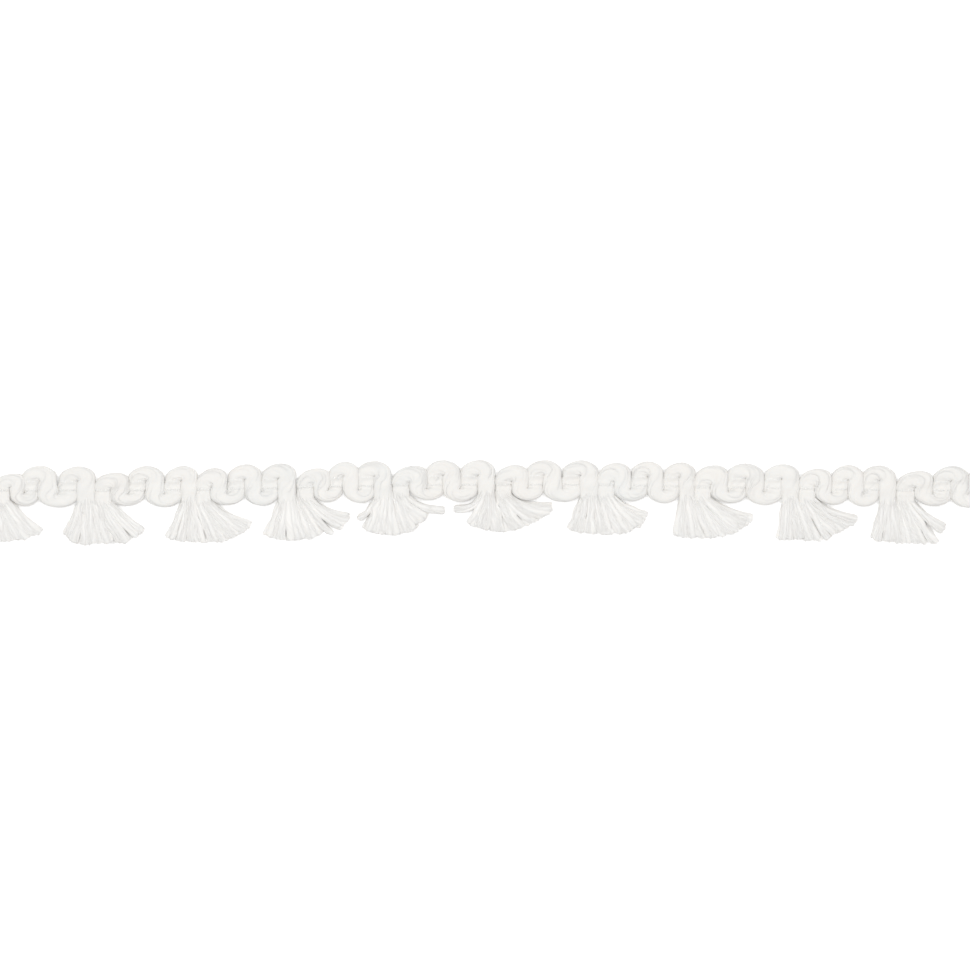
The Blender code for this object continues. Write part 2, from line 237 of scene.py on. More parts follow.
def straight_places(ply, runs, widths, spin):
    """Where each point lay in its straight ply, with the spin of the fibres."""
    ring, flat = ply["ring"], ply["flat"]
    run = runs[:, ring]
    turn = spin * run
    x = flat[:, 0] * np.cos(turn) - flat[:, 1] * np.sin(turn)
    y = flat[:, 0] * np.sin(turn) + flat[:, 1] * np.cos(turn)
    lay = np.stack((run, x * widths[:, ring], y * widths[:, ring]), axis=2)
    return lay + chance.uniform(-NOISE_ROOM, NOISE_ROOM, (len(runs), 1, 3))


print("fibres turn once in", round(2 * math.pi / SPIN, 1), "mm of ply")

# %% [markdown]
# ## From arrays to a piece
# The copies of one ply share its faces, each with its own points, so a whole bundle becomes one
# mesh in a single step. Sides are shaded smooth, and the angle rule keeps the cut ends crisp. A
# second attribute can say how far the cotton is opened out of its twist at a point. The finish
# makes the cotton paler by it, partly as opened cotton and partly as painted light that lifts
# the shade between strands.

# %% Join bundles into a piece
CRISP = math.radians(75)  # edges that bend more than this stay crisp


def piece_from(name, bundles, opened_and_shade_lift=None):
    """One object from bundles of (ply, points, lays), with the plan's millimetres made metres."""
    points, lays, corners, starts = [], [], [], []
    count = loops = 0
    for ply, places, lay in bundles:
        copies, size = places.shape[:2]
        copy = np.arange(copies)[:, None]
        corners.append((ply["corners"] + count + size * copy).ravel())
        starts.append((ply["starts"] + loops + len(ply["corners"]) * copy).ravel())
        points.append(places.reshape(-1, 3))
        lays.append(lay.reshape(-1, 3))
        count += copies * size
        loops += copies * len(ply["corners"])
    places = np.concatenate(points)
    places = (places - (*MIDDLE, 0.0)) * MM
    places[:, 2] = np.maximum(places[:, 2], 0.0)
    mesh = bpy.data.meshes.new(name)
    mesh.vertices.add(count)
    mesh.vertices.foreach_set("co", places.ravel())
    mesh.loops.add(loops)
    mesh.loops.foreach_set("vertex_index", np.concatenate(corners))
    mesh.polygons.add(sum(len(s) for s in starts))
    mesh.polygons.foreach_set("loop_start", np.concatenate(starts))
    mesh.update(calc_edges=True)
    kept = mesh.attributes.new("lay", "FLOAT_VECTOR", "POINT")
    kept.data.foreach_set("vector", np.concatenate(lays).astype(np.float32).ravel())
    # how far the cotton is opened, which the finish also uses as painted light that lifts shade between
    # strands
    if opened_and_shade_lift is not None:
        kept = mesh.attributes.new("opened_and_shade_lift", "FLOAT", "POINT")
        kept.data.foreach_set("value", opened_and_shade_lift(places / MM + (*MIDDLE, 0.0)).astype(np.float32))
    piece = bpy.data.objects.new(name, mesh)
    bpy.context.scene.collection.objects.link(piece)
    mesh.shade_smooth()
    mesh.set_sharp_from_angle(angle=CRISP)
    return piece


def triangles(piece):
    return sum(len(p.vertices) - 2 for p in piece.data.polygons)


print("edges stay crisp from", round(math.degrees(CRISP)), "degrees")

# %% [markdown]
# ## The path of the heading yarn
# Between two tassels one length of yarn runs up from a tassel, over three bumps and round the two
# lobes between them, and down into the next tassel. At every station of that run its cross
# section has an inner and an outer edge, an underside and a top. The inner edges meet in the
# middle of a turn, as in real yarn that is bent hard, and its two legs press a little into each
# other. Each turn leans and swells in its own way, because no two are ever laid alike.

# %% Stations of a turn
LEAN, SWELL = 0.28, 0.11  # mm by which turns lean and swell
BUMP_PINCH, LOBE_PINCH = 0.4, 1.0  # how deep inner edges reach, as shares of the table's


def turn_stations(turn, left, right, base, depth, ends, pinch):
    """Stations of one turn: inner x, y, outer x, y, underside, top."""
    middle, spacing = (left + right) / 2, (right - left) / 2
    lean, swell = chance.normal(0, LEAN), chance.normal(0, SWELL)
    low_full, high_full = FULL[turn is SMALL_TURN], FULL[2] + swell
    rows = []
    for k, (ix, iy, ox, oy, full) in enumerate(turn):
        low, high = ends[k >= len(turn) // 2]
        rows.append((middle + ix * spacing + lean * oy / 3, base + iy * pinch * depth,
                     middle + ox * spacing + lean * oy, base + oy * depth,
                     low + full * (low_full - low), high + full * (high_full - high)))
    return rows


def bump_stations(bump):
    base, turn = (SMALL_BASE, SMALL_TURN) if bump["small"] else (BUMP_BASE, TURN)
    depth = BUMP_TOP - bump["drop"] - base
    legs = (BACK_LEG, FRONT_LEG)
    return turn_stations(turn, bump["left"], bump["right"], base, depth, legs, BUMP_PINCH)


def lobe_stations(before, after):
    depth = LOBE_DEPTHS[0] if before["small"] else LOBE_DEPTHS[1]
    legs = (FRONT_LEG, BACK_LEG)
    rows = turn_stations(TURN, before["right"], after["left"], LOBE_BASE, -depth, legs, LOBE_PINCH)
    return [(ox, oy, ix, iy, low, high) for ix, iy, ox, oy, low, high in rows]


print("stations in one turn:", len(TURN))

# %% [markdown]
# A leg that runs into a tassel gets a tail: it thins out inside the strands, so that they come out
# of it little by little instead of starting at an edge.

# %% Sections along a length of yarn
# for each station of a tail: distance past the leg's end, share of the leg's width, top of a leg
# that comes down in front, top of a leg that runs up at the back
TAPER = ((0.65, 1.0, 3.14, 2.9), (1.6, 0.97, 2.9, 2.84), (2.9, 0.95, 2.66, 2.66), (5.0, 0.8, 2.15, 2.15))
TAPER_UNDERSIDE = 0.8
RING_STEP = 0.4  # mm from one section to the next


def length_stations(bumps, first_y, last_y):
    """Stations of a whole length of yarn, with its ends at the given y."""
    rows = bump_stations(bumps[0])
    for before, after in zip(bumps, bumps[1:]):
        rows += lobe_stations(before, after) + bump_stations(after)
    for end, y in ((0, first_y), (-1, last_y)):
        ix, iy, ox, oy, low, high = rows[end]
        tail = [(ix, y, ox, y, low, high)] if y < iy else []
        if y == LEG_END:
            middle, half = (ix + ox) / 2, (ox - ix) / 2
            for down, share, *tops in TAPER:
                top = tops[high < FRONT_LEG[1]]
                tail.append((middle - half * share, y - down, middle + half * share, y - down,
                             TAPER_UNDERSIDE, top))
        rows = tail[::-1] + rows if end == 0 else rows + tail
    return np.array(rows)


def length_sections(rows):
    """Dense sections of a length: the middle, the reach to the outer edge, underside and top."""
    middle = (rows[:, 0:2] + rows[:, 2:4]) / 2
    run = run_of(middle)
    wanted = np.linspace(0, run[-1], int(run[-1] / RING_STEP) + 1)
    dense = smoothed(rows, run, wanted)
    middle = (dense[:, 0:2] + dense[:, 2:4]) / 2
    reach = (dense[:, 2:4] - dense[:, 0:2]) / 2
    return middle, reach, dense[:, 4].copy(), dense[:, 5].copy(), wanted


print("stations of one length:", len(length_stations(LENGTHS[1], LEG_END, LEG_END)))

# %% [markdown]
# ## The stitches squeeze the yarn
# A chain stitch lies over every leg that runs up at the back, and makes a dent in it, while the
# legs that come down in front stay full and round. Between the two rows of stitches the back legs
# bulge up and towards their neighbours, so that only shallow valleys are left between legs.

# %% Dent the back legs
STITCH_Y = (1.1, -1.1)
DENT_LENGTH, DENT_DEPTH, DENT_PINCH = 0.28, 0.14, 0.08  # mm, mm, share of the width
BULGE_ACROSS, BULGE_UP, BULGE_Y = 0.14, 1.1, -0.2  # share of the width, mm, mm
# edge and ramp in mm: of the tops that are back legs', of the rise, and of the bulge across
BACK_TOPS, RISE, BULGE = (3.2, 1.0), (2.0, 0.9), (1.1, 0.6)


def eased(value, edge, span):
    """1 well below an edge, 0 above it, and a ramp of the given span between."""
    return np.clip((edge - value) / span, 0, 1)


def squeezed(middle, reach, low, high):
    """A length's reach, undersides and tops, with its back legs dented and bulged."""
    y = middle[:, 1]
    dents = sum(np.exp(-((y - row) / DENT_LENGTH) ** 2) for row in STITCH_Y)
    back = eased(high, *BACK_TOPS)
    leg = eased(np.abs(y), *RISE)
    straight = eased(np.abs(y - BULGE_Y), *BULGE)
    swell = 1.0 + BULGE_ACROSS * back * straight - DENT_PINCH * dents * back
    high = high + back * leg * BULGE_UP - DENT_DEPTH * dents * back
    return reach * swell[:, None], low, high


print("rows of stitches at y in mm:", STITCH_Y)

# %% [markdown]
# ## The skin of the heading yarn
# The plies of soft cotton press so hard into one another that the bent yarn reads as one smooth
# round, with a shallow groove between plies. So it is one rod with many sides, and its section is
# fluted: a flute for each of the fourteen plies, turning slowly with the twist. A ring is laid in
# the yarn's own cross section, so the skin stays whole even where the inner edge of a turn is
# pinched. No two flutes are quite alike, because hand-soft yarn never is.

# %% Make the heading yarn
PLIES, PLY_SIDES, FLUTE_DEPTH = 14, 5, 0.045  # depth as a share of the yarn's size
FULLNESS = 3.0  # of a section: 2 is an ellipse, and more is squarer
GROOVE_SHAPE = 0.6  # below 1, grooves are narrower than the plies between them
TWIST_PITCH, STRAIGHT = 34.0, 4.0  # mm of one turn of the twist, and of each end left untwisted
# waves along the yarn, each as its pitch in mm and its size: a flute's drift round the yarn, the
# depth of its groove, its own thickness, and the thickness of the whole yarn
DRIFT, GROOVES, PLY_LUMPS, YARN_LUMPS = (6.0, 0.05), (5.0, 0.8), (2.5, 0.011), (3.0, 0.03)
DEPTH_LIMITS = (-0.9, 2.2)  # least and most that a groove's depth may gain, as shares of it
DRIFT_EASE = 3  # mm at each end without drift, and as many over which it grows


def gentle(copies, places, pitch, depth):
    """A soft seeded waviness for each copy along its length."""
    knots = int(max(places[-1] / pitch, 1)) + 3
    rows = chance.normal(0, depth, (knots, copies))
    return smoothed(rows, np.linspace(places[0], places[-1], knots), places).T


def full_round(angle):
    """A section fuller than an ellipse."""
    across, above = np.cos(angle), np.sin(angle)
    power = 2 / FULLNESS
    return np.sign(across) * np.abs(across) ** power, np.sign(above) * np.abs(above) ** power


def places_round(yarn):
    """Each point's angle in its ring, and its number when the ring is counted round."""
    angle = np.arctan2(yarn["flat"][:, 1], yarn["flat"][:, 0]) % (2 * math.pi)
    return angle, np.rint(angle / (2 * math.pi) * PLIES * PLY_SIDES).astype(int)


def fluted_yarn(middle, reach, low, high, run):
    """The yarn's skin along a row of sections, as a bundle of one."""
    yarn = ply_of(len(run), PLIES * PLY_SIDES)
    ring = yarn["ring"]
    angle, place = places_round(yarn)
    flute, across = (place // PLY_SIDES) % PLIES, (place % PLY_SIDES) / PLY_SIDES
    drift = gentle(PLIES, run, *DRIFT)
    drift = drift * np.clip(np.minimum(run, run[-1] - run) / DRIFT_EASE - 1, 0, 1)
    shift = (1 - across) * drift[flute, ring] + across * drift[(flute + 1) % PLIES, ring]
    steps = round(run[-1] / TWIST_PITCH * PLIES)
    turned = np.clip((run - STRAIGHT) / (run[-1] - 2 * STRAIGHT), 0, 1)
    twist = 2 * math.pi * steps / PLIES * turned
    depth = FLUTE_DEPTH * (1 + np.clip(gentle(PLIES, run, *GROOVES), *DEPTH_LIMITS))
    lump = 1 + gentle(PLIES, run, *PLY_LUMPS)[flute, ring] + gentle(1, run, *YARN_LUMPS)[0][ring]
    radius = lump - depth[flute, ring] * (1 - np.sin(math.pi * across) ** GROOVE_SHAPE)
    u, v = full_round(angle + twist[ring] + shift)
    points = middle[ring] + reach[ring] * (radius * u)[:, None]
    z = (low + high)[ring] / 2 + (high - low)[ring] / 2 * radius * v
    points = np.concatenate((points, z[:, None]), axis=1)[None]
    width = np.linalg.norm(reach, axis=1)[None]
    return yarn, points, straight_places(yarn, run[None], width, 0.0)


def raised(points):
    """Points with the bow of the stitch line added."""
    points[..., 1] += stitch_line(points[..., 0])
    return points


trial = length_sections(length_stations(LENGTHS[1], LEG_END, LEG_END))
print("rings in one length of yarn:", len(trial[-1]))

# %% [markdown]
# ## Where the tassels' strands end
# A tassel is two legs of yarn, cut open. Its strands leave in locks: most fall straight, and a few
# at the sides curl out and up. Each lock is a row of cut ends with its own sag.

# %% The locks of each tassel
# tassel, share of the strands, x and y of the first and of the last cut end, sag of the row
LOCKS = (
    (0, 12, -8.3, -12.4, 12.3, -11.5, 1.9), (1, 4, -8.1, -11.9, -1.5, -14.8, 0.8),
    (1, 6, -1.2, -14.4, 9.5, -13.7, 0.2), (1, 3, 9.9, -12.9, 12.8, -10.9, 0.0),
    (2, 8, -8.1, -13.2, 7.3, -13.9, 0.5), (2, 5, 8.0, -13.3, 14.0, -9.8, 0.5),
    (3, 8, -8.0, -13.2, 6.6, -12.8, 1.2), (3, 2, 7.6, -12.4, 9.3, -12.7, 0.0),
    (3, 4, 10.6, -11.5, 13.7, -8.0, 0.3), (4, 2, -8.8, -8.7, -8.1, -9.8, 0.0),
    (4, 9, -6.9, -12.1, 6.2, -12.0, 1.4), (4, 3, 6.8, -11.0, 9.3, -8.4, 0.0),
    (4, 2, 11.7, -7.4, 13.9, -7.8, 0.0), (5, 2, -10.7, -6.6, -9.4, -7.9, 0.0),
    (5, 9, -7.3, -10.5, 7.9, -11.6, 1.7), (5, 2, 8.3, -10.8, 10.7, -10.0, 0.0),
    (5, 3, 11.4, -9.2, 15.0, -6.6, 0.2), (6, 9, -8.2, -12.2, 8.2, -12.9, 0.7),
    (6, 3, 8.3, -12.6, 13.4, -8.2, 0.5), (7, 9, -5.3, -13.3, 8.8, -13.0, 0.5),
    (7, 4, 9.5, -12.4, 14.9, -8.8, 0.4), (8, 9, -5.5, -13.7, 8.0, -13.7, 0.1),
    (8, 4, 8.6, -12.4, 15.5, -8.5, 0.3), (9, 11, -6.5, -13.2, 10.2, -14.1, 0.6),
    (9, 2, 11.1, -11.6, 13.0, -10.2, 0.0),
)
# for each tassel: how loose its strands lie, and how its neck is narrowed
LOOSE = (0.6, 0.8, 1.1, 0.35, 0.3, 1.0, 1.0, 0.7, 1.1, 0.7)
NARROWING = (1.0, 0.98, 0.835, 1.0, 1.0, 1.0, 0.978, 0.913, 0.988, 1.0)


def shared_out(total, counts):
    """A number of strands shared between locks in proportion to their counts."""
    exact = total * np.array(counts) / sum(counts)
    shares = np.floor(exact).astype(int)
    for k in np.argsort(shares - exact)[: total - shares.sum()]:
        shares[k] += 1
    return shares


def cut_ends(tassel, total):
    """The cut ends of one layer from left to right, and the room each has."""
    locks = [lock[1:] for lock in LOCKS if lock[0] == tassel]
    shares = shared_out(total, [lock[0] for lock in locks])
    ends, rooms = [], []
    for (_, x0, y0, x1, y1, sag), count in zip(locks, shares):
        t = (np.arange(count) + 0.5) / max(count, 1)
        y = y0 + (y1 - y0) * t - sag * 4 * t * (1 - t)
        ends.append(np.stack((x0 + (x1 - x0) * t, y), axis=1))
        rooms.append(np.full(count, math.hypot(x1 - x0, y1 - y0) / max(count, 1)))
    return np.concatenate(ends), np.concatenate(rooms)


print("ends of tassel 4:", np.round(cut_ends(4, 14)[0][:3], 1).tolist())

# %% [markdown]
# ## The strands of a tassel
# The strands start inside the thinning tail of each leg, in the places of its plies, and come out
# of it little by little, so the yarn runs through without an edge. They spread to the full width
# of the neck, then fan out to their cut ends in two layers: the plies on top of the leg make the
# upper layer. Neighbours lie in small clumps, tight in one tassel and loose in another. A strand
# opens and flattens as it leaves the neck, and waves a little.

# %% Places and clumps of the strands
STRANDS_INSIDE = 8
RING_PLACE, CORE_PLACE = 0.66, 0.32  # of the ring and the core of strands, in sizes of the yarn
CLUMP_LIFT, CLUMP_LEAN = 0.36, 0.32  # in mm up or down, and in rooms of a strand for each place


def ply_places():
    """Where the strands lie in the yarn's round section: an outer ring and a core."""
    outer = 2 * math.pi * (np.arange(PLIES) + 0.5) / PLIES
    inner = 2 * math.pi * (np.arange(STRANDS_INSIDE) + 0.5) / STRANDS_INSIDE
    u = np.concatenate((RING_PLACE * np.cos(outer), CORE_PLACE * np.cos(inner)))
    v = np.concatenate((RING_PLACE * np.sin(outer), CORE_PLACE * np.sin(inner)))
    return u, v, v > 0


def clumps(count):
    """A shared lift for neighbouring strands, and how far each leans to its clump's middle."""
    lift, lean, k = np.empty(count), np.empty(count), 0
    while k < count:
        size = min(int(chance.integers(2, 6)), count - k)
        lift[k:k + size] = chance.uniform(-CLUMP_LIFT, CLUMP_LIFT)
        lean[k:k + size] = CLUMP_LEAN * ((size - 1) / 2 - np.arange(size))
        k += size
    return lift, lean


print("strands in one leg:", len(ply_places()[0]))

# %% Stations of a strand
SKIN_HALF, STRANDS_HALF = 1.075, 0.96  # half widths of a leg, and of its strands, in half spacings
STRAND_SIZE = 0.34  # of a strand inside a leg, in sizes of the leg
INSIDE = ((0.7, 0.7), (0.35, 0.76), (0.0, 0.82))  # mm above the leg's end, share of its size
# y, height of the middle and reach above and below it, where strands enter and leave the neck
NECK_Y, NECK_HEIGHT, NECK_REACH = -2.15, 1.74, 1.15
ROOT_Y, ROOT_HEIGHT, ROOT_REACH = -3.0, 1.64, 1.1
NECK_HALF, ROOTS_HALF = 1.98, 3.95  # half widths in mm of a leg in the neck, and of all the roots
STAGGER, SCATTER = 0.12, (0.1, 0.16)  # mm, of heights in the neck, and of x and y of cut ends
# mm above the table before the ends sink, mm that they sink, and each layer's share of that
END_HEIGHTS, DROOP, SINKS = (0.75, 1.95), 1.25, (0.35, 1.0)
# how far across and along a strand bends on its way, by the y of its cut end, and how far up
BEND_DEPTHS, BEND_ACROSS, BEND_ALONG = (-12.0, -9.0, -6.5), (0.34, 0.27, 0.13), (0.5, 0.72, 1.15)
BEND_UP = 0.45
# half width of a strand at its end: share of its room, limits in mm, and the range of its own
# share, with what looseness takes off the whole and off the least
ROOM_TAKEN, NARROWEST, WIDEST, OWN_SHARE, LOOSER = 1.4, 0.6, 1.35, (0.82, 1.15), (0.26, 0.1)
# a strand's size in the neck, as a share of the leg's half width and half height there, its
# half width and half height at the root, and the height that it loses on the way, in mm
NECK_SIZE, NECK_THICKNESS = 0.3, 1.2
ROOT_WIDTH, ROOT_THICKNESS, THINNING = 0.5, 0.42, 0.04


def leg_section(bump, side, y):
    """Middle, half width, underside and top of a leg at y, where it enters a tassel."""
    spacing = (bump["right"] - bump["left"]) / 2
    low, high = FRONT_LEG if side == "right" else BACK_LEG
    place, reach = np.array([[bump[side], y]]), np.array([[STRANDS_HALF * spacing, 0.0]])
    reach, low, high = squeezed(place, reach, np.array([low]), np.array([high]))
    return bump[side], reach[0, 0], low[0], high[0]


def strand_rows(leg, end, room, centre, narrow, side, root_x, u, v, layer, lift, loose):
    """Stations of one strand: x, y, height above the table, half width, half height."""
    rows = []
    for above, share in INSIDE:
        middle, reach, low, high = leg_section(*leg, LEG_END + above)
        reach, height = reach * share, (high - low) / 2 * share
        rows.append((middle + reach * u, LEG_END + above, (low + high) / 2 + height * v,
                     STRAND_SIZE * reach, STRAND_SIZE * height))
    neck_x = centre + narrow * NECK_HALF * (side + u)
    stagger = chance.normal(0, STAGGER)
    rows.append((neck_x, NECK_Y, NECK_HEIGHT + NECK_REACH * v + stagger / 2,
                 NECK_SIZE * NECK_HALF * narrow, NECK_SIZE * NECK_THICKNESS))
    root = np.array(((neck_x + root_x) / 2, ROOT_Y, ROOT_HEIGHT + ROOT_REACH * v + stagger))
    tip = np.array((end[0] + centre, end[1], END_HEIGHTS[layer] + lift))
    tip[:2] += chance.normal(0, SCATTER)
    share = np.array((np.interp(end[1], BEND_DEPTHS, BEND_ACROSS),
                      np.interp(end[1], BEND_DEPTHS, BEND_ALONG), BEND_UP))
    bend = root + (tip - root) * share
    close = min(max(ROOM_TAKEN * room, NARROWEST), WIDEST)
    own = chance.uniform(OWN_SHARE[0] - LOOSER[1] * loose, OWN_SHARE[1])
    spread = close * (1 - LOOSER[0] * loose) * own
    for t in (0.0, 0.25, 0.5, 0.75, 0.9, 1.0):
        x, y, z = (1 - t) ** 2 * root + 2 * t * (1 - t) * bend + t**2 * tip
        sink = SINKS[layer] * DROOP * t**5
        width = ROOT_WIDTH + (spread - ROOT_WIDTH) * t**0.8
        rows.append((x, y, z - sink, width, ROOT_THICKNESS - THINNING * t))
    return np.array(rows)


print("strands bend across by", BEND_ACROSS, "of their way")

# %% Lay the strands in two layers
STRAND_RINGS, STRAND_SIDES = 28, 7
STRAND_WAVE, WAVE_FROM, WAVE_EASE = (3.2, 0.17), 1.9, 4  # pitch and size, start and ease, in mm
OFF_TABLE = 0.02  # mm between a strand and the table


def strand_lines(tassel, legs, centre):
    """The path, width and height of every strand of one tassel, in two layers."""
    u, v, upper = ply_places()
    narrow = NARROWING[tassel]
    strands = []
    for layer, chosen in enumerate((~upper, upper)):
        order = np.argsort(u[chosen], kind="stable")
        us, vs = u[chosen][order], v[chosen][order]
        ends, rooms = cut_ends(tassel, 2 * len(us))
        lifts, leans = clumps(len(ends))
        ends[:, 0] += leans * rooms
        for k, (end, room) in enumerate(zip(ends, rooms)):
            side, place = (-1, k) if k < len(us) else (1, k - len(us))
            root_x = centre + narrow * ROOTS_HALF * ((2 * k + 1) / len(ends) - 1)
            rows = strand_rows(legs[k // len(us)], end, room, centre, narrow, side, root_x,
                               us[place], vs[place], layer, lifts[k], LOOSE[tassel] * layer)
            run = run_of(rows[:, :3])
            wanted = np.linspace(0, run[-1], STRAND_RINGS)
            strand = smoothed(rows, run, wanted)
            wave = gentle(1, wanted, *STRAND_WAVE)[0]
            strand[:, 0] += wave * np.clip((wanted - WAVE_FROM) / WAVE_EASE, 0, 1)
            strand[:, 2] = np.maximum(strand[:, 2], strand[:, 4] + OFF_TABLE)
            strands.append(strand)
    strands = np.array(strands)
    return strands[..., :3], strands[..., 3], strands[..., 4]


tassel_legs = []
for left, right in zip(LENGTHS, LENGTHS[1:]):
    legs = ((left[-1], "right"), (right[0], "left"))
    tassel_legs.append((legs, (left[-1]["right"] + right[0]["left"]) / 2))
print("tassel middles:", [round(float(centre), 1) for _, centre in tassel_legs])

# %% [markdown]
# Over the strands of an opened yarn lie finer ones, its single plies. They start under the skin
# of a leg's tail and run down over the upper strands, a little to one side or the other, so the
# fan shows lines of more than one fineness. A loose tassel has more of them.

# %% Single plies over the strands
FINE_RINGS, FINE_SIDES = 26, 5
FINE_FROM, FINE_RADIUS = (2.4, 6.6), (0.12, 0.22)  # ring of a strand, and mm
FINE_PLACE, FINE_LEAN, FINE_WAVE = 0.7, 0.45, (3.0, 0.1)  # in half widths of a strand
WAVE_SPAN = 10  # mm that a single ply's length is taken for when its waves are drawn
SUNK, START_SUNK, BLEND = 0.04, 0.3, 0.1  # mm under what it lies on, more at its start, and ease


def skin_height(leg, x, y):
    """The height of the top of a leg's thinning skin at places in a tassel's neck."""
    bump, side = leg
    half = SKIN_HALF * (bump["right"] - bump["left"]) / 2
    down, shares, front, back = np.array(TAPER).T
    tops = front if side == "right" else back
    half = half * np.interp(LEG_END - y, down, shares)
    top = np.interp(LEG_END - y, down, tops)
    u = np.clip(np.abs(x - bump[side]) / half, 0, 1)
    height = (top - TAPER_UNDERSIDE) / 2
    z = TAPER_UNDERSIDE + height * (1 + (1 - u**FULLNESS) ** (1 / FULLNESS))
    return np.where(y > LEG_END - down[-1], z - SUNK, 0.0)


def fine_plies(paths, widths, heights, legs, count):
    """Single plies that run from the leg's skin over the upper strands: lines and radii."""
    each = len(paths) // 4
    t = np.linspace(0, 1, FINE_RINGS)
    lines, radii = [], []
    for k in chance.integers(2 * each, 4 * each, count):
        rings = np.linspace(chance.uniform(*FINE_FROM), STRAND_RINGS - 1, FINE_RINGS)
        strand = np.column_stack((paths[k], widths[k], heights[k]))
        strand = smoothed(strand, np.arange(STRAND_RINGS, dtype=float), rings)
        across = chance.uniform(-FINE_PLACE, FINE_PLACE) + chance.normal(0, FINE_LEAN) * t
        across = np.clip(across + gentle(1, WAVE_SPAN * t, *FINE_WAVE)[0], -0.95, 0.95)
        way = unit(np.gradient(strand[:, :2], axis=0))
        place = strand[:, :3].copy()
        place[:, 0] -= way[:, 1] * across * strand[:, 3]
        place[:, 1] += way[:, 0] * across * strand[:, 3]
        over = place[:, 2] + strand[:, 4] * np.sqrt(1 - across**2)
        skin = skin_height(legs[(k - 2 * each) // each], place[:, 0], place[:, 1])
        sunk = SUNK + START_SUNK * np.clip(1 - t * 7, 0, 1)
        place[:, 2] = (over + skin + np.hypot(over - skin, BLEND)) / 2 - sunk
        lines.append(place)
        radii.append(chance.uniform(*FINE_RADIUS) * (1 - 0.2 * t))
    return np.array(lines), np.array(radii)


print("single plies are", [2 * radius for radius in FINE_RADIUS], "mm thick")

# %% [markdown]
# ## Cut ends and loose fibres
# Cotton never ends in a clean disc: the knife leaves a short brush of fibres on every strand, and
# single fibres stand off the yarn at its sides. A hair particle system could do this, but it would
# have to be made a mesh afterwards. Here the brush and the loose fibres are very thin plies with
# three sides, bent in one go like the strands.

# %% Brushes on the cut ends
BRUSH = ply_of(4, 3)
# fibres a strand, shape and size in mm of how far they stick out, their splay, and radii in mm
BRUSH_EACH, BRUSH_REACH, SPLAY, BRUSH_RADIUS = 12, (2.5, 0.13), 0.22, (0.022, 0.04)


def brush_on(paths, widths, heights, each):
    """Fibres that run along the last stretch of each strand and stick out past its cut end."""
    tips = paths[:, -1]
    way = unit(paths[:, -1] - paths[:, -4])
    side = unit(np.cross((0.0, 0.0, 1.0), way))
    strand = np.repeat(np.arange(len(paths)), each)
    count = len(strand)
    angle = chance.uniform(0, 2 * math.pi, count)
    place = np.sqrt(chance.uniform(0.1, 1.0, count))
    across = side[strand] * (np.cos(angle) * place * widths[strand, -1])[:, None]
    across[:, 2] += np.sin(angle) * place * heights[strand, -1]
    reach = chance.gamma(*BRUSH_REACH, count)
    t = np.linspace(-1.6, 1.0, BRUSH["ring"].max() + 1)
    far = np.where(t > 0, t, 0)[None] * reach[:, None] + np.minimum(t, 0)[None] * 0.9
    splay = chance.normal(0, SPLAY, (count, 3)) * reach[:, None]
    lines = (tips[strand] + across)[:, None] + way[strand][:, None] * far[..., None]
    lines = lines + splay[:, None] * np.clip(t, 0, 1)[None, :, None] ** 2
    lines[..., 2] = np.maximum(lines[..., 2], 0.05)
    radii = np.linspace(1.0, 0.55, len(t))[None] * chance.uniform(*BRUSH_RADIUS, count)[:, None]
    return BRUSH, *bent(BRUSH, lines, radii, radii)


print("faces of a brush fibre:", len(BRUSH["starts"]))

# %% [markdown]
# Loose fibres start on a ply's surface, lean along it and lift a little way off. Most bend back
# towards the yarn, and a few stand free. They are few and fine, and grow at the sides alone, so
# they only soften the outline.

# %% Loose fibres on a bundle
FIBRE = ply_of(5, 3)
FIBRE_RADIUS = (0.012, 0.02)  # mm
STEEPEST = 0.55  # a fibre that would point up or down by more than this is left out
BEND_BACK = 0.6  # share of the fibres that bend back towards the yarn


def side_roots(ply, points, number):
    """Roots of fibres at the sides of a bundle, the ways out and the ways along it there."""
    ring, rings = ply["ring"], ply["ring"].max() + 1
    sides = int((ring == 0).sum())
    rows = np.argsort(ring, kind="stable").reshape(rings, sides)
    centres = points[:, rows].mean(axis=2)
    bundle = centres.mean(axis=0)
    copy = chance.integers(0, len(points), number * 3)
    at = chance.integers(2, rings - 3, number * 3)
    corner = rows[at, chance.integers(0, sides, number * 3)]
    base = points[copy, corner]
    out = unit(base - centres[copy, at])
    away = centres[copy, at] - bundle[at]
    outer, level = (out * away).sum(axis=1) > -0.05, np.abs(out[:, 2]) < STEEPEST
    shown = np.where(outer & level)[0][:number]
    copy, at = copy[shown], at[shown]
    return base[shown], out[shown], unit(centres[copy, at + 1] - centres[copy, at - 1], 1e-9)


def loose_fibres(ply, points, number, longest):
    """Fibres that stand off a bundle of plies whose points are given."""
    base, out, way = side_roots(ply, points, number)
    count = len(way)
    way *= chance.choice((-1.0, 1.0), count)[:, None]
    length = chance.uniform(0.35, 1.0, count) * longest
    lift = chance.gamma(2.0, 0.11, count) * longest / 2
    t = np.linspace(0, 1, FIBRE["ring"].max() + 1)
    back = chance.uniform(0, 1, count)[:, None] < BEND_BACK
    rise = np.where(back, 3.4 * t * (1 - 0.8 * t), 1.6 * t**1.4)
    curl = chance.normal(0, 0.25, (count, 3)) * length[:, None]
    lines = (base - out * 0.05)[:, None] + (way * length[:, None])[:, None] * t[None, :, None]
    lines = lines + out[:, None] * (rise * lift[:, None])[..., None]
    lines = lines + curl[:, None] * (t**2)[None, :, None]
    lines[..., 2] = np.maximum(lines[..., 2], 0.04)
    radii = np.linspace(1.0, 0.6, len(t))[None] * chance.uniform(*FIBRE_RADIUS, count)[:, None]
    return FIBRE, *bent(FIBRE, lines, radii, radii)


print("faces of a loose fibre:", len(FIBRE["starts"]))
